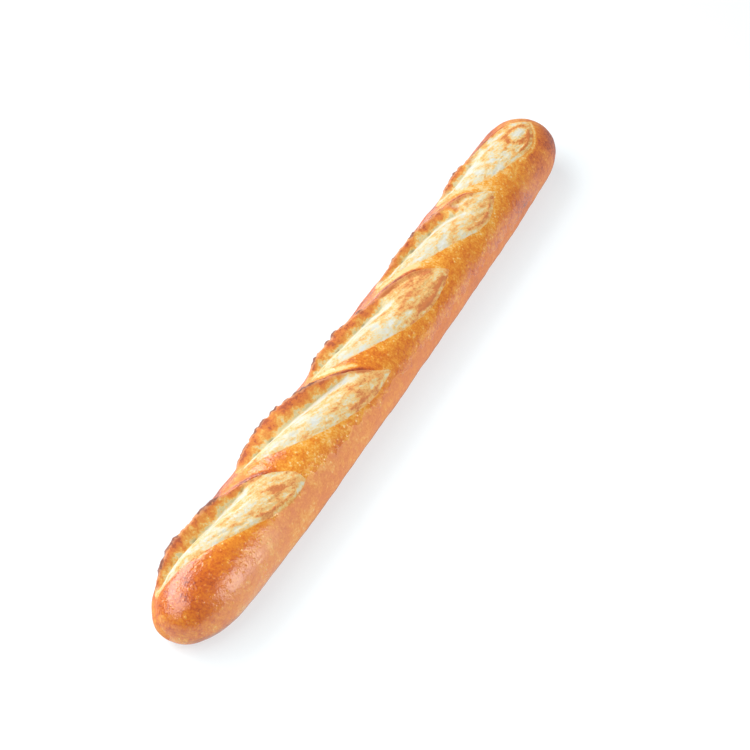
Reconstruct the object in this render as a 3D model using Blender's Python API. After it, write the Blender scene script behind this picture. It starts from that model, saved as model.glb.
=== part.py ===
"""A baguette: one long loaf of bread with a flat base and five slashes along its top.

Each slash was cut at a slant and opened in the oven. On its right the crust ends in a soft rim,
then a swelling of bare crumb falls into a crease, and on the left of the crease the lifted flap of
crust, the ear, stands up to a thin edge. Past the ear's end the crumb lies level up to the crust.
The loaf lies along X with its base on Z = 0, and +Y is the side of the ears.
"""

import math

import bmesh
import bpy
import numpy as np

# The loaf, in metres.
LENGTH = 0.580
WIDTH = 0.0650
HEIGHT = 0.0480  # top of the crust between the ears
WAIST = 0.0200  # height of the widest line of the sides
WAIST_DROOP = 0.10  # how much lower that line runs at the very tips, as a share
NEAR_CAP = 0.056  # length of the rounding at the -X end
FAR_CAP = 0.041  # and at the +X end
CAP_POWER = 2.3  # 2 is an ellipse, more is blunter
NEAR_TAPER = 0.145  # the loaf slims slowly over this length towards the -X end
NEAR_SLIMMING = 0.093  # by this share of its girth
FAR_TAPER = 0.120
FAR_SLIMMING = 0.068
BOW = 0.0035  # both ends bend this far towards +Y
BOW_CENTRE = 0.19  # keeps the bent loaf's box centred
FLANK_POWER = 0.72  # below the waist the flanks are fuller than an ellipse
BELLY_POWER = 0.80  # and the belly is flatter
CAP_BELLY_POWER = 0.70  # the belly stays low in the rounded ends
BASE_SINK = 0.0022  # how much of the round bottom the tray pressed flat
PINCHES = (-0.157, -0.066, 0.062, 0.160)  # stations where the left side draws in, between the ears
PINCH = 0.055  # share of the half width lost there
PINCH_REACH = 0.014
PINCH_START, PINCH_FULL = 0.2, 0.9  # how far round to the left side, as a sine, it starts and is full

# The slashes: the stations and the angles round the loaf of both tips, in metres and degrees, with
# the angle zero at the top and growing towards -Y. Then, from the middle line of the slash, the
# distances to the rim on its right, to the crease and to the ear's edge on its left, then the shares
# of the length at which the slash is widest and at which the ear ends, and the ear's height.
SLASHES = (
    dict(near=-0.2755, turn=-41.0, far=-0.152, end_turn=43.0,
         rim=0.0112, crease=0.0175, edge=0.0228, widest=0.64, ear_end=0.72, ear=0.0045),
    dict(near=-0.168, turn=-35.0, far=-0.033, end_turn=50.0,
         rim=0.0138, crease=0.0140, edge=0.0220, widest=0.54, ear_end=0.80, ear=0.0056),
    dict(near=-0.074, turn=-36.0, far=0.077, end_turn=36.0,
         rim=0.0170, crease=0.0100, edge=0.0180, widest=0.60, ear_end=0.62, ear=0.0040),
    dict(near=0.036, turn=-40.0, far=0.172, end_turn=24.0,
         rim=0.0180, crease=0.0090, edge=0.0155, widest=0.68, ear_end=0.70, ear=0.0034),
    dict(near=0.142, turn=-38.0, far=0.267, end_turn=6.0,
         rim=0.0190, crease=0.0100, edge=0.0155, widest=0.64, ear_end=0.56, ear=0.0028),
)
GIRTH_RADIUS = 0.031  # turns an angle round the loaf into a distance
RIM_HEIGHT = 0.0008
RIM_SLOPE = 0.0040  # how far the swelling behind the rim reaches
CRUMB_SWELL = 0.0016
CREASE_DEPTH = 0.0048
LEAST_FLAP = 0.0020  # the crease stays at least this far from the ear's edge
EAR_BACK = 0.0038  # how far the ear's outer side takes to fall back to the crust
BACK_POWER = 1.2
LEVEL_SWELL = 0.0019  # swelling of the crumb past the ear's end
LEVEL_STEP = 0.0010  # and its step down from the rim
LIP_HEIGHT = 0.0014  # the crust's lip there
GAPE_PEAK, GAPE_POWER = 0.55, 0.60  # how the opening's height swells along the slash
RIM_POWER, EDGE_POWER = 0.62, 0.55  # how bluntly the rim and the edge come together at the tips
CREASE_START, CREASE_FULL = 0.02, 0.80  # the crease wanders to the left over this run
CREASE_PEAK, CREASE_POWER = 0.75, 0.40
TIP_START, TIP_FULL = -0.03, 0.02  # the relief grows in over this run at each tip
EAR_FULL = 0.10  # the ear is up to its height at this share
EAR_FADE_START, EAR_FADE_END = -0.12, 0.03  # and sinks away over this run about its end
FALL_START, FLAP_START = 0.4, -0.15  # where across the crumb and the flap their slopes begin
SWELL_POWER = 0.8
STEP_SHARE, LIP_SHARE = 0.06, 0.07  # widths of the step and of the lip, as shares of the slash

# The mesh.
STATIONS = 104
COLUMNS = 44
TWIST = 500.0  # degrees per metre: the mesh's columns run along the slashes
UNTWIST = 375.0  # and turn more slowly towards the far end, in degrees per square metre
END_SHARE = 0.09  # share of the stations that each rounded end takes


def smooth(low, high, value):
    """0 below low, 1 above high, and an even S between them."""
    share = np.clip((value - low) / (high - low), 0.0, 1.0)
    return share * share * (3.0 - 2.0 * share)


def bulge(share, peak, power):
    """0 at both ends of the run from 0 to 1, and 1 at its peak."""
    share = np.clip(share, 0.0, 1.0)
    rising = 0.5 * share / peak
    falling = 0.5 + 0.5 * (share - peak) / (1.0 - peak)
    return np.sin(np.pi * np.where(share < peak, rising, falling)) ** power


def girth(x):
    """Size of the cross-section at a station, as a share of the full one."""
    from_near = x + LENGTH / 2
    from_far = LENGTH / 2 - x
    share = np.clip(np.minimum(from_near / NEAR_CAP, from_far / FAR_CAP), 0.0, 1.0)
    rounding = (1.0 - (1.0 - share) ** CAP_POWER) ** (1.0 / CAP_POWER)
    near_loss = NEAR_SLIMMING * (1.0 - smooth(0.0, NEAR_TAPER, from_near))
    far_loss = FAR_SLIMMING * (1.0 - smooth(0.0, FAR_TAPER, from_far))
    return rounding * (1.0 - near_loss - far_loss)


def crust(x, angle):
    """A point of the unslashed loaf: round on top, fuller below the waist, bowed in plan."""
    size = girth(x)
    side, up = np.sin(angle), np.cos(angle)
    away = np.abs(side) ** np.where(up > 0, 1.0, FLANK_POWER)
    pinches = sum(np.exp(-(((x - centre) / PINCH_REACH) ** 2)) for centre in PINCHES)
    left = 1.0 - PINCH * pinches * smooth(PINCH_START, PINCH_FULL, -side)
    middle = BOW * ((2.0 * x / LENGTH) ** 2 - BOW_CENTRE)
    y = middle - WIDTH / 2 * size * np.sign(side) * away * left
    waist = WAIST * (1.0 - WAIST_DROOP * (1.0 - size))
    above = (HEIGHT - WAIST) * size * up
    below = -(waist + BASE_SINK) * size**CAP_BELLY_POWER * np.abs(up) ** BELLY_POWER
    return np.stack([x, y, waist + np.where(up > 0, above, below)], -1)


def slash_relief(x, angle, slash):
    """How far one slash lifts or sinks the crust at a station and an angle."""
    along = (x - slash["near"]) / (slash["far"] - slash["near"])
    middle = slash["turn"] + (slash["end_turn"] - slash["turn"]) * along
    across = (middle - np.degrees(angle)) * math.radians(1.0) * GIRTH_RADIUS
    gape = bulge(along, GAPE_PEAK, GAPE_POWER)
    rim = -slash["rim"] * bulge(along, slash["widest"], RIM_POWER)
    edge = slash["edge"] * bulge(along, slash["widest"], EDGE_POWER)
    wander = smooth(CREASE_START, CREASE_FULL, along) * bulge(along, CREASE_PEAK, CREASE_POWER)
    crease = np.minimum(slash["crease"] * wander, edge - LEAST_FLAP)
    fade_start, fade_end = slash["ear_end"] + EAR_FADE_START, slash["ear_end"] + EAR_FADE_END
    eared = smooth(TIP_START, EAR_FULL, along) * (1.0 - smooth(fade_start, fade_end, along))
    in_crumb = np.clip((across - rim) / np.maximum(crease - rim, 1e-5), 0.0, 1.0)
    in_ear = np.clip((across - crease) / np.maximum(edge - crease, 1e-5), 0.0, 1.0)
    in_slash = np.clip((across - rim) / np.maximum(edge - rim, 1e-5), 0.0, 1.0)
    depth = CREASE_DEPTH * gape * smooth(0.0, EAR_FULL, along)
    top = slash["ear"] * eared
    lip = LIP_HEIGHT * gape * (1.0 - eared)
    swell = CRUMB_SWELL * np.sin(np.pi * in_crumb**SWELL_POWER) * gape
    crumb = swell - depth * smooth(FALL_START, 1.0, in_crumb)
    flap = (top + depth) * smooth(FLAP_START, 1.0, in_ear) - depth
    step = smooth(0.0, STEP_SHARE, in_slash) * (1.0 - smooth(1.0 - STEP_SHARE, 1.0, in_slash))
    level = gape * (LEVEL_SWELL * np.sin(np.pi * in_slash) - LEVEL_STEP * step)
    inside = eared * np.where(across < crease, crumb, flap) + (1.0 - eared) * level
    inside = inside + lip * smooth(1.0 - LIP_SHARE, 1.0, in_slash)
    before = RIM_HEIGHT * gape * np.exp(-np.maximum(rim - across, 0.0) / RIM_SLOPE)
    fall = (np.maximum(across - edge, 0.0) / EAR_BACK) ** BACK_POWER
    behind = (top + lip) * np.exp(-fall)
    relief = np.where(across < rim, before, np.where(across > edge, behind, inside))
    return relief * smooth(TIP_START, TIP_FULL, along) * smooth(TIP_START, TIP_FULL, 1.0 - along)


def loaf_point(x, angle):
    """A point of the slashed loaf."""
    step = 1e-4
    point = crust(x, angle)
    along = crust(x + step, angle) - crust(x - step, angle)
    around = crust(x, angle + step) - crust(x, angle - step)
    outward = np.cross(around, along)
    outward /= np.maximum(np.linalg.norm(outward, axis=-1, keepdims=True), 1e-12)
    relief = sum(slash_relief(x, angle, slash) for slash in SLASHES)
    point = point + outward * relief[..., None]
    point[..., 2] = np.maximum(point[..., 2], 0.0)
    return point


def station(share):
    """The X that lies a share of the way along the mesh, closer together in the rounded ends."""
    to_near = np.clip(share / END_SHARE, 0.0, 1.0)
    to_far = np.clip((1.0 - share) / END_SHARE, 0.0, 1.0)
    middle = np.clip((share - END_SHARE) / (1.0 - 2.0 * END_SHARE), 0.0, 1.0)
    near = NEAR_CAP * (1.0 - np.cos(np.pi / 2 * to_near))
    far = FAR_CAP * (1.0 - np.cos(np.pi / 2 * to_far))
    straight = middle * (LENGTH - NEAR_CAP - FAR_CAP)
    return near + straight + FAR_CAP - far - LENGTH / 2


def build_loaf():
    """A sphere whose parallels become the loaf's cross-sections, its poles the two ends."""
    mesh = bpy.data.meshes.new("loaf")
    shape = bmesh.new()
    bmesh.ops.create_uvsphere(shape, u_segments=COLUMNS, v_segments=STATIONS, radius=1.0)
    ball = np.array([vertex.co for vertex in shape.verts])
    share = np.arccos(np.clip(-ball[:, 2], -1.0, 1.0)) / math.pi
    x = station(share)
    angle = np.arctan2(ball[:, 1], ball[:, 0]) + np.radians(TWIST * x - UNTWIST * x * x)
    angle = (angle + math.pi) % (2 * math.pi) - math.pi
    for vertex, place in zip(shape.verts, loaf_point(x, angle)):
        vertex.co = place
    shape.to_mesh(mesh)
    shape.free()
    mesh.shade_smooth()
    loaf = bpy.data.objects.new("loaf", mesh)
    bpy.context.scene.collection.objects.link(loaf)
    return loaf


def baked_crust():
    """Golden brown crust with a slight gloss."""
    material = bpy.data.materials.new("baked_crust")
    material.use_nodes = True
    shader = material.node_tree.nodes["Principled BSDF"]
    shader.inputs["Base Color"].default_value = (0.72, 0.27, 0.05, 1.0)
    shader.inputs["Roughness"].default_value = 0.45
    shader.inputs["Metallic"].default_value = 0.0
    return material


for old in list(bpy.data.objects):
    bpy.data.objects.remove(old)
build_loaf().data.materials.append(baked_crust())
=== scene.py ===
import math

import bmesh
import bpy
import numpy as np
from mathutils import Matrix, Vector, noise


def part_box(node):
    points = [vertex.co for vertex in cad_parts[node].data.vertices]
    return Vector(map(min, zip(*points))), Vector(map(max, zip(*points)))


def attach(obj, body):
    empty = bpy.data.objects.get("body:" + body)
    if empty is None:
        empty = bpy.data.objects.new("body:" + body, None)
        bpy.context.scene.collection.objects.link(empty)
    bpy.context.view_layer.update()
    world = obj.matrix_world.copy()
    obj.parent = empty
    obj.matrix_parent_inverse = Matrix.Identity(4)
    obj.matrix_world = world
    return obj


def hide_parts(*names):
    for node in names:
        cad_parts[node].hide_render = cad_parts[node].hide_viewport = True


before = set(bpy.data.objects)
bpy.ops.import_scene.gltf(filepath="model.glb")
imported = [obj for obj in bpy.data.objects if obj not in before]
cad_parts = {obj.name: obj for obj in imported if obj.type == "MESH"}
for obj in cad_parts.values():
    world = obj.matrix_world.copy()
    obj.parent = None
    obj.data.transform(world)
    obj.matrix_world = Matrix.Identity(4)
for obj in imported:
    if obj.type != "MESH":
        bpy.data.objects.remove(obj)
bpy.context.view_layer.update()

# ---- The dough ------------------------------------------------------------------------------------
# A roll of wheat dough, hand-shaped with two rounded ends, proved in a cloth and baked on a flat
# tray, which pressed its underside flat. It bends a little towards the side of its ears.

low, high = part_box("loaf")
LENGTH = high.x - low.x
WIDTH = 0.0650
HEIGHT = 0.0480
WAIST = 0.0200
WAIST_DROOP = 0.10
NEAR_CAP, FAR_CAP = 0.056, 0.041
CAP_POWER = 2.3
NEAR_TAPER, NEAR_SLIMMING = 0.145, 0.093
FAR_TAPER, FAR_SLIMMING = 0.120, 0.068
BOW, BOW_CENTRE = 0.0035, 0.19
FLANK_POWER, BELLY_POWER, CAP_BELLY_POWER = 0.72, 0.80, 0.70
BASE_SINK = 0.0022
GIRTH_RADIUS = 0.031  # turns an angle round the loaf into a distance along its skin


def smooth(low, high, value):
    """0 below low, 1 above high, and an even S between them."""
    share = np.clip((value - low) / (high - low), 0.0, 1.0)
    return share * share * (3.0 - 2.0 * share)


def through(points, at):
    """A smooth curve through a few points, level outside them."""
    xs, ys = np.array(points, float).T
    slopes = np.gradient(ys, xs)
    at = np.clip(at, xs[0], xs[-1])
    i = np.clip(np.searchsorted(xs, at) - 1, 0, len(xs) - 2)
    run = xs[i + 1] - xs[i]
    t = (at - xs[i]) / run
    start = (1 + 2 * t) * (1 - t) ** 2 * ys[i] + t * (1 - t) ** 2 * run * slopes[i]
    return start + t * t * (3 - 2 * t) * ys[i + 1] + t * t * (t - 1) * run * slopes[i + 1]


def lumps(x, y, z, size, seed=0.0):
    """Soft noise from -1 to 1 with features of a given size."""
    spots = zip((x / size).tolist(), (y / size).tolist(), (z / size + seed).tolist())
    return np.fromiter((noise.noise(Vector(spot)) for spot in spots), float, len(x))


def girth(x):
    from_near, from_far = x + LENGTH / 2, LENGTH / 2 - x
    share = np.clip(np.minimum(from_near / NEAR_CAP, from_far / FAR_CAP), 0.0, 1.0)
    rounding = (1.0 - (1.0 - share) ** CAP_POWER) ** (1.0 / CAP_POWER)
    near_loss = NEAR_SLIMMING * (1.0 - smooth(0.0, NEAR_TAPER, from_near))
    far_loss = FAR_SLIMMING * (1.0 - smooth(0.0, FAR_TAPER, from_far))
    return rounding * (1.0 - near_loss - far_loss)


def skin(x, angle):
    """A point of the unslashed loaf. The angle is zero on top and grows towards -Y."""
    size = girth(x)
    side, up = np.sin(angle), np.cos(angle)
    away = np.abs(side) ** np.where(up > 0, 1.0, FLANK_POWER)
    pinches = sum(np.exp(-(((x - near - 0.008) / 0.014) ** 2)) for near in (-0.165, -0.074, 0.054, 0.152))
    left = 1.0 - 0.055 * pinches * smooth(0.2, 0.9, -side)
    y = BOW * ((2 * x / LENGTH) ** 2 - BOW_CENTRE) - WIDTH / 2 * size * np.sign(side) * away * left
    waist = WAIST * (1.0 - WAIST_DROOP * (1.0 - size))
    above = (HEIGHT - WAIST) * size * up
    below = -(waist + BASE_SINK) * size**CAP_BELLY_POWER * np.abs(up) ** BELLY_POWER
    return np.stack([x, y, waist + np.where(up > 0, above, below)], -1)


STATIONS, COLUMNS = 400, 240
ball = bmesh.new()
bmesh.ops.create_uvsphere(ball, u_segments=COLUMNS, v_segments=STATIONS, radius=1.0)
sphere = np.array([vertex.co for vertex in ball.verts])
share = np.arccos(np.clip(-sphere[:, 2], -1.0, 1.0)) / math.pi
END_SHARE = 0.09
to_near = np.clip(share / END_SHARE, 0.0, 1.0)
to_far = np.clip((1.0 - share) / END_SHARE, 0.0, 1.0)
middle = np.clip((share - END_SHARE) / (1.0 - 2.0 * END_SHARE), 0.0, 1.0)
x = NEAR_CAP * (1.0 - np.cos(np.pi / 2 * to_near)) - FAR_CAP * (1.0 - np.cos(np.pi / 2 * to_far))
x = x + middle * (LENGTH - NEAR_CAP - FAR_CAP) + FAR_CAP - LENGTH / 2
angle = np.arctan2(sphere[:, 1], sphere[:, 0]) + np.radians(500.0 * x - 375.0 * x * x)
angle = (angle + math.pi) % (2 * math.pi) - math.pi
angle = angle - 0.35 * np.sin(angle)

# ---- The slashes ----------------------------------------------------------------------------------
# Five slanting cuts of the baker's blade. Each opened in the oven: on its right the crust ends in a
# rim, the bare crumb swells out of it and dives into a crease, and on the left of the crease the cut
# flap of crust, the ear, stands up to a torn, burnt edge. All run on past the ear to a blunt far end.

# For each slash: the station and the angle of both tips, then, against the share of the way from
# tip to tip, the distances in millimetres from its middle line to the rim on its right (negative),
# to its crease and to the edge on its left, and the height of that edge and depth of the crease.
SLASHES = (
    dict(near=(-0.2755, -42.0), far=(-0.152, 43.3),
         rim=((0, 1.0), (0.05, -1.2), (0.12, -3.2), (0.24, -5.7), (0.53, -9.8), (0.69, -11.2), (0.83, -9.4), (0.96, -2.9), (1, 0)),
         crease=((0, 2), (0.1, 5.6), (0.2, 10.0), (0.3, 13.6), (0.4, 16.2), (0.6, 19.0), (0.7, 19.8), (0.78, 20), (1, 10)),
         edge=((0, 7), (0.04, 8.6), (0.1, 9.4), (0.25, 16.5), (0.4, 20.4), (0.52, 22.8), (0.66, 23.4), (0.75, 22.4),
               (0.84, 20.5), (0.92, 16.0), (0.97, 11.5), (1, 8)),
         height=((0, 0.4), (0.08, 2.6), (0.2, 4.6), (0.35, 6.0), (0.5, 5.4), (0.6, 3.6), (0.7, 1.5), (0.8, 0.8), (1, 0.3)),
         depth=((0, 0), (0.08, 2.0), (0.3, 4.2), (0.6, 4.5), (0.7, 3.0), (0.78, 0.2), (1, 0))),
    dict(near=(-0.168, -35.0), far=(-0.033, 50.0),
         rim=((0, -0.5), (0.05, -1.6), (0.1, -3.6), (0.17, -7.4), (0.27, -11.0), (0.48, -13.7), (0.68, -13.2), (0.83, -9.6), (0.95, -3.0), (1, 0)),
         crease=((0, 2), (0.07, 6.0), (0.15, 9.2), (0.36, 13.6), (0.55, 15.7), (0.67, 15.8), (0.76, 15.2), (0.85, 11), (1, 4)),
         edge=((0, 7), (0.1, 13), (0.25, 20), (0.45, 23.5), (0.6, 22.4), (0.7, 20.8), (0.77, 17.6), (0.84, 14.0),
               (0.9, 9.0), (0.95, 4.5), (1, 2)),
         height=((0, 0.4), (0.08, 3.2), (0.3, 5.6), (0.5, 5.8), (0.66, 3.6), (0.77, 2.0), (0.86, 0.8), (0.92, 0.3), (1, 0)),
         depth=((0, 0), (0.08, 2.0), (0.3, 4.2), (0.6, 4.8), (0.72, 3.4), (0.8, 0.6), (1, 0))),
    dict(near=(-0.073, -35.0), far=(0.077, 35.0),
         rim=((0, -1), (0.11, -5.7), (0.27, -11.6), (0.44, -15.4), (0.6, -17.0), (0.78, -13.8), (0.95, -3.8), (1, 0)),
         crease=((0, 1.5), (0.1, 6.5), (0.2, 9.8), (0.3, 11.4), (0.4, 12.8), (0.5, 12.4), (0.6, 10.8), (0.68, 11), (1, 6)),
         edge=((0, 5), (0.1, 10.2), (0.25, 16.6), (0.42, 18.8), (0.5, 18.0), (0.58, 17.0), (0.7, 17.6), (0.8, 17.0),
               (0.88, 14.5), (0.95, 8.5), (1, 2)),
         height=((0, 0), (0.08, 2.6), (0.25, 4.2), (0.42, 4.4), (0.54, 2.8), (0.62, 2.0), (0.72, 2.1), (0.86, 1.6),
                 (0.95, 0.6), (1, 0)),
         depth=((0, 0), (0.08, 1.8), (0.25, 3.8), (0.5, 4.0), (0.58, 3.0), (0.64, 0.6), (0.8, 0.2), (1, 0))),
    dict(near=(0.036, -40.0), far=(0.172, 23.3),
         rim=((0, -0.5), (0.06, -2.4), (0.14, -4.5), (0.2, -6.5), (0.28, -11.5), (0.38, -13.8), (0.5, -15.3), (0.6, -17.2),
              (0.7, -18.2), (0.81, -15.9), (0.95, -5.2), (1, 0)),
         crease=((0, 1.5), (0.08, 3.2), (0.16, 5.6), (0.25, 7.8), (0.37, 9.2), (0.5, 10.0), (0.6, 10.0), (0.67, 7.8), (0.75, 3.0), (0.85, 2), (1, 2)),
         edge=((0, 3), (0.06, 5.6), (0.15, 9.0), (0.24, 11.4), (0.37, 14.0), (0.535, 15.5), (0.66, 14.9), (0.78, 14.3), (0.88, 11.4), (0.94, 7.0), (1, 2)),
         height=((0, 0), (0.06, 1.5), (0.15, 2.6), (0.37, 3.8), (0.58, 3.2), (0.7, 2.4), (0.78, 2.2), (0.9, 1.4), (0.965, 0.4), (1, 0)),
         depth=((0, 0), (0.06, 1.0), (0.15, 2.2), (0.37, 3.4), (0.58, 3.6), (0.68, 2.6), (0.76, 1.0), (0.81, 0.2), (1, 0))),
    dict(near=(0.142, -38.0), far=(0.268, 5.0),
         rim=((0, 1.5), (0.06, -0.5), (0.12, -3.5), (0.18, -8.0), (0.265, -13.5), (0.4, -17.6), (0.53, -18.6), (0.665, -19.8),
              (0.8, -18.3), (0.93, -9.0), (1, -1)),
         crease=((0, 3), (0.08, 4.5), (0.175, 5.4), (0.31, 7.6), (0.45, 10.2), (0.6, 12.5), (1, 8)),
         edge=((0, 5), (0.08, 7.0), (0.175, 9.6), (0.31, 12.8), (0.487, 15.0), (0.6, 15.6), (0.71, 15.8), (0.843, 14.2),
               (0.93, 10.5), (1, 2)),
         height=((0, 0), (0.08, 1.8), (0.3, 3.0), (0.487, 2.4), (0.6, 1.2), (0.75, 0.8), (1, 0.3)),
         depth=((0, 0), (0.1, 0.8), (0.3, 1.8), (0.45, 1.4), (0.58, 0.3), (1, 0))),
)


def slash_at(slash, x, angle):
    """Where points lie against a slash: share of the way along it, and millimetres to its left."""
    (near, turn), (far, end_turn) = slash["near"], slash["far"]
    along = (x - near) / (far - near)
    line = turn + (end_turn - turn) * along
    return along, (line - np.degrees(angle)) * math.radians(1.0) * GIRTH_RADIUS * 1000.0


def slash_shape(slash, x, angle):
    """Height in millimetres that a slash adds, and what its surface is made of."""
    along, across = slash_at(slash, x, angle)
    here = (along > -0.12) & (along < 1.12)
    u = np.clip(along, 0.0, 1.0)
    ragged = lumps(x, x * 0, x * 0, 0.0042, slash["near"][0] * 900) + 0.5 * lumps(x, x * 0, x * 0, 0.0019, slash["near"][0] * 300)
    rim = through(slash["rim"], u) + 0.25 * lumps(x, x * 0, x * 0, 0.004, slash["near"][0] * 500)
    edge = through(slash["edge"], u)
    height = through(slash["height"], u)
    torn = smooth(1.0, 3.0, height)
    edge = edge + 0.8 * ragged * torn
    height = height * (1.0 + 0.18 * ragged)
    crease = np.minimum(through(slash["crease"], u), edge - 1.5)
    depth = through(slash["depth"], u)
    gape = np.sin(np.pi * np.clip(u, 0.0, 1.0)) ** 0.5
    in_crumb = np.clip((across - rim) / np.maximum(crease - rim, 0.1), 0.0, 1.0)
    in_ear = np.clip((across - crease) / np.maximum(edge - crease, 0.1), 0.0, 1.0)
    in_slash = np.clip((across - rim) / np.maximum(edge - rim, 0.1), 0.0, 1.0)
    eared = smooth(0.3, 1.6, depth)
    past_rim = across - rim
    before_edge = edge - across
    fall = smooth(0.45, 1.0, in_crumb)
    swell = 1.9 * gape * np.sin(np.pi * np.clip(in_crumb, 0, 1) ** 0.85)
    step = -0.3 * gape * smooth(0.0, 1.6, past_rim)
    crumb = swell + step - depth * fall
    flap = -depth + (height + depth) * smooth(-0.12, 1.0, in_ear)
    level = 1.7 * gape * np.sin(np.pi * in_slash) + step * smooth(0.0, 2.2, before_edge) + height * smooth(3.0, 0.0, before_edge)
    inside = eared * np.where(across < crease, crumb, flap) + (1.0 - eared) * level
    before = -0.2 * gape * np.exp(-np.maximum(-past_rim, 0.0) / 2.0)
    behind = height * np.exp(-((np.maximum(-before_edge, 0.0) / 3.6) ** 1.2))
    inside = inside - 0.2 * gape * (1.0 - smooth(0.0, 1.6, past_rim))
    relief = np.where(across < rim, before, np.where(across > edge, behind, inside))
    relief = np.where(here, relief * smooth(-0.03, 0.02, along) * (1 - smooth(0.98, 1.03, along)), 0.0)
    # Burnt nodules beyond each torn ear edge, raised here; the material paints them dark, partly as burnt crust and
    # partly as painted shade on the ear's outer side.
    clusters = smooth(-0.5, 0.05, lumps(x, x * 0, x * 0, 0.016, slash["near"][0] * 100))
    burnt_and_shade = smooth(-0.45, 0.15, lumps(x / 1.5, angle * GIRTH_RADIUS, x * 0, 0.0042, 51.0)) * clusters
    burnt_and_shade = burnt_and_shade * np.exp(-(((before_edge + 0.9) / 1.5) ** 2)) * smooth(1.7, 3.8, height) * here
    relief = relief + 1.9 * burnt_and_shade
    fold_line = np.exp(-(((past_rim - 4.2) / 1.5) ** 2)) * smooth(0.5, 0.7, along) * (1.0 - smooth(0.88, 0.97, along))
    relief = relief + 0.6 * fold_line * here
    welt_line = np.exp(-(((before_edge + 1.8) / 2.4) ** 2)) * smooth(0.4, 0.62, along) * smooth(0.98, 0.84, along)
    relief = relief + 0.9 * welt_line * here
    span = (slash["far"][0] - slash["near"][0]) * 1000.0
    beyond = np.maximum(np.maximum(-along, along - 1.0), 0.0) * span
    bare = np.where(beyond > 0, -np.hypot(beyond, across), np.minimum(past_rim, before_edge))
    return dict(relief=relief, bare=bare, flap=np.where(across < crease, in_crumb - 1.0, in_ear), along=along,
                eared=eared, across=across, depth=depth, height=height, rim=past_rim, edge=before_edge,
                fold=fold_line, crease=across - crease, burnt_and_shade=burnt_and_shade)


shapes = [slash_shape(slash, x, angle) for slash in SLASHES]
nearest = np.argmax(np.stack([shape["bare"] for shape in shapes]), axis=0)


def of_nearest(key):
    return np.choose(nearest, [shape[key] for shape in shapes])


bare = of_nearest("bare")
flap = of_nearest("flap")
along = of_nearest("along")
across = of_nearest("across")
eared = of_nearest("eared")
height = of_nearest("height")
in_open = smooth(-0.3, 1.5, bare)
relief = sum(shape["relief"] for shape in shapes)

place = skin(x, angle)
grain = lumps(x, place[:, 1], place[:, 2], 0.028) * 0.5 + lumps(x, place[:, 1], place[:, 2], 0.011, 7.0) * 0.28
grain = grain + lumps(x, place[:, 1], place[:, 2], 0.005, 9.0) * 0.13
streaks = lumps(along * 0.130 + nearest, across / 1000 * 4.0, x * 0, 0.009, 3.0)
flakes = lumps(along * 0.130 + nearest, across / 1000 * 2.5, x * 0, 0.0035, 5.0)
on_flap = in_open * eared * smooth(0.0, 0.2, flap)
relief = relief + grain * (1.0 - 0.4 * in_open) + in_open * (0.45 * streaks + 0.22 * flakes)
relief = relief + on_flap * 0.9 * lumps(x, angle * GIRTH_RADIUS, x * 0, 0.0048, 71.0)

NUDGE = 1e-4
lengthwise = skin(x + NUDGE, angle) - skin(x - NUDGE, angle)
roundwise = skin(x, angle + NUDGE) - skin(x, angle - NUDGE)
outward = np.cross(roundwise, lengthwise)
outward /= np.maximum(np.linalg.norm(outward, axis=1, keepdims=True), 1e-12)
base_fade = smooth(-0.9, -0.5, np.cos(angle))
place = place + outward * (relief * base_fade / 1000.0)[:, None]
place[:, 2] = np.maximum(place[:, 2], 0.0)

mesh = bpy.data.meshes.new("baked_loaf")
ball.to_mesh(mesh)
ball.free()
mesh.vertices.foreach_set("co", place.ravel())
mesh.shade_smooth()
loaf = bpy.data.objects.new("baked_loaf", mesh)
bpy.context.scene.collection.objects.link(loaf)


def paint(name, values):
    """Keeps a number for each point of the loaf, for its material."""
    mesh.attributes.new(name, "FLOAT", "POINT").data.foreach_set("value", np.asarray(values, np.float32))


# How far each spot is baked: 0 is pale gold, 1 deep brown, more is burnt. On the left shoulders, which face the lamps,
# it also holds painted shade.
past_edge, past_crease = of_nearest("edge"), of_nearest("crease")
gaps = -np.sort(-np.stack([shape["bare"] for shape in shapes]), axis=0)
strip = -gaps[0] - gaps[1]
stretched = (1.0 - smooth(4.0, 13.0, strip)) * smooth(-0.4, 0.4, np.cos(angle))
flank = smooth(0.25, 1.0, np.sin(angle)) * smooth(-0.6, 0.3, np.cos(angle))
tip = smooth(0.06, 0.0, LENGTH / 2 - np.abs(x))
patches = lumps(x, place[:, 1], place[:, 2], 0.034, 11.0)
# Beside the near tips of three slashes the stretched crust also tore a little, and shows a pale seam.
SEAMS = (
    ((-0.069, -38.0), (-0.060, -14.0), (-0.046, 11.0)),
    ((0.032, -38.0), (0.052, -20.0), (0.069, -4.0)),
    ((0.146, -44.0), (0.161, -21.0), (0.172, 7.0)),
)
seam = np.zeros(len(x))
for bends in SEAMS:
    aside = (np.degrees(angle) - through(bends, x)) * math.radians(1.0) * GIRTH_RADIUS * 1000.0
    ends = smooth(bends[0][0] - 0.004, bends[0][0] + 0.003, x) * smooth(bends[2][0] + 0.003, bends[2][0] - 0.008, x)
    seam = np.maximum(seam, np.exp(-((aside / 3.4) ** 2)) * ends * (0.6 if bends[0][0] > 0 else 1.0))
seam = seam * (1.0 + 0.7 * lumps(x, angle * GIRTH_RADIUS, x * 0, 0.004, 91.0))
ring = np.exp(-(((bare + 2.0) / 1.4) ** 2)) * (nearest == 4) * smooth(0.5, 0.75, along)
bake_and_shade = 0.37 + 0.06 * flank + 0.24 * tip + 0.26 * patches
bake_and_shade = bake_and_shade + 0.16 * smooth(-0.16, -0.22, x) * smooth(1.1, 0.2, np.abs(angle - 0.35))
bake_and_shade = bake_and_shade + 0.14 * smooth(0.16, 0.24, x) * smooth(0.2, 0.7, angle) * smooth(-0.3, 0.2, patches)
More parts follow.
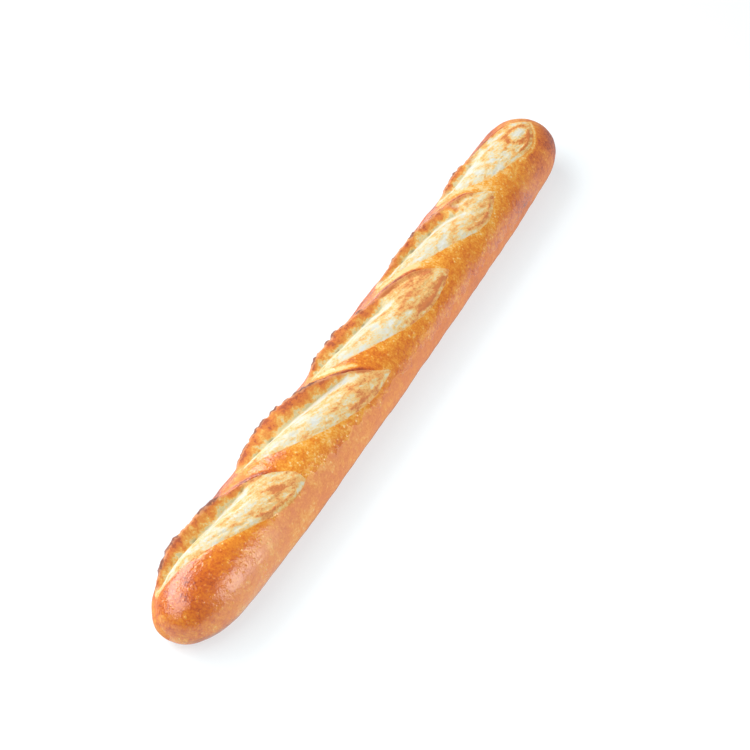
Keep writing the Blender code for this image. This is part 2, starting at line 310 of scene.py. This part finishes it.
bake_and_shade = bake_and_shade + np.exp(-(((x + 0.158) / 0.028) ** 2)) * (0.17 * smooth(0.25, -0.2, angle) - 0.10 * smooth(0.1, 0.35, angle) * smooth(0.9, 0.6, angle))
# Painted shade: the left shoulders, which face the bank of lamps, are made darker to stand in for less light there; the
# right side is baked a little deeper, most on the far flank.
shoulder_shade_and_bake = 0.44 * smooth(-0.5, -0.95, angle) + 0.08 * smooth(0.3, 0.7, angle) * smooth(-0.1, 0.0, x)
shoulder_shade_and_bake = shoulder_shade_and_bake + 0.12 * smooth(0.9, 1.2, angle) * smooth(0.04, 0.14, x)
bake_and_shade = bake_and_shade + shoulder_shade_and_bake * smooth(-0.85, -0.2, np.cos(angle)) * smooth(0.0, 0.04, LENGTH / 2 - np.abs(x))
welt = np.exp(-(((past_edge + 1.6) / 3.1) ** 2)) * smooth(0.35, 0.62, along) * smooth(0.98, 0.86, along)
stretched = stretched * (1.0 - welt) * smooth(-1.1, -0.6, angle) * smooth(-0.150, -0.125, x)
bake_and_shade = bake_and_shade - 0.10 * np.exp(np.minimum(bare, 0.0) / 3.0) * (1.0 - welt) - 0.42 * stretched - 0.4 * ring
bake_and_shade = bake_and_shade - 0.7 * seam * (1.0 - welt) + 0.5 * welt
lip = np.exp(-(((past_edge - 0.4) / 1.6) ** 2)) * (1.0 - eared) * smooth(0.3, 0.6, along) * smooth(0.96, 0.85, along)
lip = lip * np.where(nearest == 4, 0.35, 1.0)
bake_and_shade = bake_and_shade + 0.15 * lip
# On the sides a painted reflection of the pale table and lamps tints the crust rosier, up to a broken line; the sides
# are also duller.
SIDE_LINE = ((-0.26, 34.0), (-0.19, 40.0), (-0.09, 60.0), (0.0, 70.0), (0.10, 77.0), (0.20, 86.0), (0.27, 95.0))
wander = 12.0 * lumps(x, place[:, 1], place[:, 2], 0.020, 81.0) + 10.0 * lumps(x, place[:, 1], place[:, 2], 0.008, 83.0)
wander = wander + 5.0 * lumps(x, place[:, 1], place[:, 2], 0.0035, 85.0)
blur = 2.0 + 12.0 * smooth(-0.13, -0.23, x)
right_side = smooth(-1.0, 1.0, (np.degrees(angle) - through(SIDE_LINE, x) + wander) / blur)
left_side = 0.6 * smooth(-5.0, 5.0, -np.degrees(angle) - 88.0 + wander)
back_side = smooth(-42.0, -62.0, np.degrees(angle)) * (1.0 - in_open)
painted_sheen = np.maximum(right_side, left_side) * smooth(0.0, 0.045, LENGTH / 2 - np.abs(x)) * smooth(-0.98, -0.8, np.cos(angle))
crest = of_nearest("burnt_and_shade")
torn = smooth(1.2, 3.0, height) * smooth(0.0, 0.03, along) * smooth(1.0, 0.97, along)
flap = flap + 0.45 * lumps(x, across / 1000.0, x * 0, 0.009, 61.0) * smooth(0.05, 0.3, flap)
toast = 0.30 + 0.45 * lumps(along * 0.130 + nearest, across / 1000 * 1.6, x * 0, 0.010, 21.0)
toasted = np.choose(nearest, [0.20, 0.30, 0.42, 0.22, 0.14])
toast = toast + toasted * smooth(0.4, 0.75, along) + 0.4 * of_nearest("fold")
mid = of_nearest("rim") / np.maximum(of_nearest("rim") + past_edge, 0.1)
swirl = np.hypot((along - 0.83) / 0.10, (mid - 0.45) / 0.24)
toast = toast + (nearest == 0) * 0.4 * np.exp(-((swirl / 0.75) ** 2))
toast = toast + (nearest == 4) * (0.5 * np.exp(-(((swirl - 1.0) / 0.3) ** 2)) - 0.25 * np.exp(-((swirl / 0.6) ** 2)))
bright = np.exp(-(((past_crease + 3.0) / 2.6) ** 2)) * eared
toast = toast * (1.0 - bright) + 0.14 * np.exp(-np.maximum(of_nearest("rim"), 0.0) / 1.6) + 0.35 * lip + 0.3 * smooth(0.14, 0.02, along)
# Painted shade: dark olive spots along the bottom of each crease, standing in for shaded pits that the shape doesn't
# have.
crease_shade = np.exp(-((past_crease / 0.7) ** 2)) * eared * smooth(0.15, 0.45, lumps(x, x * 0, x * 0, 0.0075, 41.0))
paint("bare", bare)
paint("flap", flap)
paint("bake_and_shade", bake_and_shade)
paint("crest", crest)
paint("brink", past_edge)
paint("torn", torn)
paint("toast", toast)
paint("eared", eared)
paint("crease_shade", crease_shade)
paint("painted_sheen", painted_sheen)
paint("dull", np.maximum(np.maximum(0.8 * right_side * smooth(-0.24, -0.17, x), back_side), 0.7 * smooth(0.18, 0.25, x)))
# Painted shade: the crust turns darker low on the sides, next to the table.
paint("foot_shade", smooth(94.0, 110.0, np.abs(np.degrees(angle))) * smooth(0.0, 0.01, LENGTH / 2 - np.abs(x)))
paint("streak", across / 1000.0)
paint("reach", along * 0.13)

# ---- The baked surface ----------------------------------------------------------------------------
# Steam and sugars gave the crust a thin golden to chestnut skin with a soft gloss and fine blisters.
# The crumb in the slashes is drier and paler, toasted in patches, and the ears' edges are burnt, with painted shade
# darkening their outer side.


class Line:
    """A value in a material's node tree that can be written in sums."""

    def __init__(self, tree, socket):
        self.tree = tree
        self.socket = socket

    def join(self, kind, settings=None, values=None, output=0):
        """Adds a node: its settings first, then the numbers or lines into its sockets."""
        node = self.tree.nodes.new(kind)
        for name, setting in (settings or {}).items():
            if name == "stops":
                for stop, (position, colour) in enumerate(setting):
                    if stop >= len(node.color_ramp.elements):
                        node.color_ramp.elements.new(position)
                    node.color_ramp.elements[stop].position = position
                    node.color_ramp.elements[stop].color = (*colour, 1.0)
            else:
                setattr(node, name, setting)
        for name, value in (values or {}).items():
            if isinstance(value, Line):
                self.tree.links.new(value.socket, node.inputs[name])
            else:
                node.inputs[name].default_value = value
        return Line(self.tree, node.outputs[output])

    def math(self, operation, first, second=0.0, clamp=False):
        return self.join("ShaderNodeMath", {"operation": operation, "use_clamp": clamp}, {0: first, 1: second})

    def __add__(self, other):
        return self.math("ADD", self, other)

    def __radd__(self, other):
        return self.math("ADD", other, self)

    def __sub__(self, other):
        return self.math("SUBTRACT", self, other)

    def __rsub__(self, other):
        return self.math("SUBTRACT", other, self)

    def __mul__(self, other):
        return self.math("MULTIPLY", self, other)

    def __rmul__(self, other):
        return self.math("MULTIPLY", other, self)

    def __truediv__(self, other):
        return self.math("DIVIDE", self, other)

    def step(self, low, high):
        """0 below low, 1 above high, and an S between them."""
        return self.join(
            "ShaderNodeMapRange", {"interpolation_type": "SMOOTHSTEP"},
            {"Value": self, "From Min": low, "From Max": high}, "Result")

    def noise(self, spot, size, detail=2.0, roughness=0.5):
        return self.join(
            "ShaderNodeTexNoise", None,
            {"Vector": spot, "Scale": 1.0 / size, "Detail": detail, "Roughness": roughness}, "Fac")

    def blend(self, first, second, share, kind="MIX"):
        return self.join(
            "ShaderNodeMix", {"data_type": "RGBA", "blend_type": kind},
            {0: share, 6: first, 7: second}, 2)

    def ramp(self, value, stops):
        return self.join("ShaderNodeValToRGB", {"stops": stops}, {"Fac": value}, "Color")

    def attribute(self, name):
        return self.join("ShaderNodeAttribute", {"attribute_name": name}, None, "Fac")


def srgb(red, green, blue):
    """Linear colour of a shade given in 8-bit steps."""
    return tuple((c / 255 / 12.92) if c < 10 else ((c / 255 + 0.055) / 1.055) ** 2.4 for c in (red, green, blue))


finish = bpy.data.materials.new("baked_crust")
finish.use_nodes = True
tree = finish.node_tree
shader = tree.nodes["Principled BSDF"]
bench = Line(tree, None)
spot = bench.join("ShaderNodeTexCoord", None, None, "Object")
bare_line = bench.attribute("bare")
flap_line = bench.attribute("flap")
bake_and_shade_line = bench.attribute("bake_and_shade")
crest_line = bench.attribute("crest")
toast_line = bench.attribute("toast")
eared_line = bench.attribute("eared")
slash_spot = bench.join(
    "ShaderNodeCombineXYZ", None,
    {"X": bench.attribute("reach") * 0.35, "Y": bench.attribute("streak"), "Z": 0.0}, "Vector")

mottle = bench.noise(spot, 0.010, 4.0, 0.62) - 0.5
freckle = bench.noise(spot, 0.0036, 2.0, 0.6) - 0.5
grain = bench.noise(spot, 0.0013, 2.0, 0.6) - 0.5
speckle = bench.noise(spot, 0.0016, 2.0, 0.6) - 0.5
fibre = bench.noise(slash_spot, 0.0026, 4.0, 0.65) - 0.5
crumble = bench.noise(spot, 0.0030, 5.0, 0.7) - 0.5
cells = bench.join("ShaderNodeTexVoronoi", {"feature": "F1"}, {"Vector": spot, "Scale": 260.0}, "Distance")
blister = 1.0 - cells.step(0.12, 0.30)

crust_colour = bench.ramp(
    bake_and_shade_line + mottle * 0.85 + freckle * 0.5 + speckle * 0.8 - blister * 0.22,
    ((0.0, srgb(242, 208, 142)), (0.2, srgb(238, 170, 62)), (0.4, srgb(228, 138, 32)),
     (0.6, srgb(215, 113, 22)), (0.8, srgb(198, 90, 20)), (1.0, srgb(152, 60, 22))))
crumb_colour = bench.ramp(
    toast_line + fibre * 1.4 + crumble * 1.15 + grain * 0.7,
    ((0.0, srgb(216, 217, 208)), (0.28, srgb(222, 211, 174)), (0.5, srgb(231, 195, 122)),
     (0.72, srgb(229, 164, 82)), (1.0, srgb(204, 114, 46))))
# The ear's colour starts greyer and a little darker right at the crease, painted shade there, before its cream, gold
# and browner tones.
ear_colour = bench.ramp(
    flap_line * 1.0 + mottle * 1.1 + freckle * 0.7 + fibre * 1.0 + crumble * 1.1 + speckle * 0.5,
    ((0.0, srgb(216, 200, 148)), (0.09, srgb(232, 212, 160)), (0.24, srgb(238, 184, 84)),
     (0.48, srgb(230, 144, 42)), (0.8, srgb(220, 112, 28)), (1.0, srgb(184, 80, 32))))
on_ear = flap_line.step(-0.06, 0.06) * eared_line
inside_colour = bench.blend(crumb_colour, ear_colour, on_ear)
# Painted shade in the creases.
inside_colour = bench.blend(inside_colour, (*srgb(112, 92, 48), 1.0), bench.attribute("crease_shade") * 0.7)
burnt_and_shade = (crest_line + crumble * 0.5 + speckle * 0.3).step(0.2, 0.5)
brink = bench.attribute("brink") + crumble * 1.2
# Painted highlight: a pale pinkish line along the crest of each torn ear, where its glossy ridge catches the lamps.
ridge_highlight = brink.step(-0.6, 0.1) * (1.0 - brink.step(0.5, 1.3)) * bench.attribute("torn")
sheen_line = bench.attribute("painted_sheen")
# Painted reflection: the sides take a rosy tint where a glossy crust would mirror the pale table and lamps.
crust_colour = bench.blend(crust_colour, (*srgb(226, 132, 66), 1.0), sheen_line * (0.42 + mottle * 0.9))
# Painted shade low on the sides, next to the table.
crust_colour = bench.blend(crust_colour, (*srgb(170, 96, 62), 1.0), bench.attribute("foot_shade") * 0.75)
open_line = (bare_line + fibre * 2.4 + crumble * 1.6).step(-0.15, 0.35)
colour = bench.blend(crust_colour, inside_colour, open_line)
# Painted highlight along the ears' crests.
colour = bench.blend(colour, (*srgb(240, 172, 118), 1.0), ridge_highlight * 0.7)
# The ears' outer edges: burnt crust, darkened further as painted shade.
colour = bench.blend(colour, (*srgb(120, 58, 50), 1.0), burnt_and_shade * 0.85)
tree.links.new(colour.socket, shader.inputs["Base Color"])

gloss = 0.2 + open_line * 0.55 + bench.attribute("dull") * 0.5 + speckle * 0.2
tree.links.new(gloss.socket, shader.inputs["Roughness"])
shader.inputs["Specular IOR Level"].default_value = 1.0

pores = (fibre * 1.4 + crumble * (1.8 + 1.4 * on_ear)) * open_line
crust_height = (blister * 0.4 + speckle * 0.55 + freckle * 0.5) * (1.0 - open_line)
skin_height = crust_height + pores + mottle * 0.6
bump = bench.join("ShaderNodeBump", None, {"Strength": 0.6, "Distance": 0.0007, "Height": skin_height}, "Normal")
tree.links.new(bump.socket, shader.inputs["Normal"])

mesh.materials.append(finish)
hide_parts("loaf")
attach(loaf, "root")

# ---- The table ------------------------------------------------------------------------------------
# A plain white studio table that runs on past the picture on every side.

FLOOR_SIZE = 12.0
plate = bmesh.new()
bmesh.ops.create_grid(plate, x_segments=1, y_segments=1, size=FLOOR_SIZE / 2)
floor_mesh = bpy.data.meshes.new("table")
plate.to_mesh(floor_mesh)
plate.free()
table = bpy.data.objects.new("table", floor_mesh)
bpy.context.scene.collection.objects.link(table)
white = bpy.data.materials.new("white_table")
white.use_nodes = True
paper = white.node_tree.nodes["Principled BSDF"]
paper.inputs["Base Color"].default_value = (0.43, 0.46, 0.465, 1.0)
paper.inputs["Roughness"].default_value = 0.9
paper.inputs["Specular IOR Level"].default_value = 0.0
paper.inputs["Emission Color"].default_value = (0.93, 0.97, 1.0, 1.0)
paper.inputs["Emission Strength"].default_value = 0.6
floor_mesh.materials.append(white)

# ---- The studio -----------------------------------------------------------------------------------
# Three large soft boxes in a dim room with a pale horizon: a long bank on the side of the ears, a
# square one that carries it on round the near end, and a tall one opposite.

# For each box: where it stands, what it faces, its width and height, and its power.
STUDIO = (
    ("bank", (0.155, 1.104, 1.004), (0.0, 0.0, 0.0), 1.7, 0.85, 21.0),
    ("near", (-0.822, 0.576, 1.115), (0.0, 0.0, 0.0), 1.35, 1.05, 13.0),
    ("tall", (0.05, -0.74, 0.40), (-0.20, 0.0, 0.0), 0.4, 0.7, 3.3),
)
for name, stand, faced, wide, tall, power in STUDIO:
    lamp = bpy.data.lights.new(name, "AREA")
    lamp.shape = "RECTANGLE"
    lamp.size, lamp.size_y = wide, tall
    lamp.energy = power
    box = bpy.data.objects.new(name, lamp)
    box.location = stand
    box.rotation_euler = (Vector(stand) - Vector(faced)).to_track_quat("Z", "Y").to_euler()
    bpy.context.scene.collection.objects.link(box)

world = bpy.data.worlds.new("room")
bpy.context.scene.world = world
world.use_nodes = True
sky = Line(world.node_tree, None)
direction = sky.join("ShaderNodeTexCoord", None, None, "Generated")
rise = sky.join("ShaderNodeSeparateXYZ", None, {"Vector": direction}, "Z")
near_left = sky.join(
    "ShaderNodeVectorMath", {"operation": "DOT_PRODUCT"}, {0: direction, 1: (-0.6, 0.8, 0.0)}, "Value")
glow = 0.27 + 0.38 * (1.0 - rise.step(0.02, 0.14)) + 0.3 * (1.0 - rise.step(0.12, 0.32)) * near_left.step(0.0, 0.5)
world.node_tree.links.new(glow.socket, world.node_tree.nodes["Background"].inputs["Color"])
world.node_tree.nodes["Background"].inputs["Strength"].default_value = 1.0
bpy.context.scene.view_settings.view_transform = "Standard"

# ---- The camera -----------------------------------------------------------------------------------
# It looks down the loaf from beyond its near end, halfway up.

AIM = Vector((-0.0293, -0.0108, 0.024))
DISTANCE = 1.3
AZIMUTH, ELEVATION = math.radians(-63.13), math.radians(45.0)
back = Vector((
    math.sin(AZIMUTH) * math.cos(ELEVATION),
    -math.cos(AZIMUTH) * math.cos(ELEVATION),
    math.sin(ELEVATION)))
lens = bpy.data.cameras.new("camera")
lens.sensor_width = 36.0
lens.lens = 87.16
camera = bpy.data.objects.new("camera", lens)
camera.location = AIM + back * DISTANCE
camera.rotation_euler = back.to_track_quat("Z", "Y").to_euler()
bpy.context.scene.collection.objects.link(camera)
bpy.context.scene.camera = camera
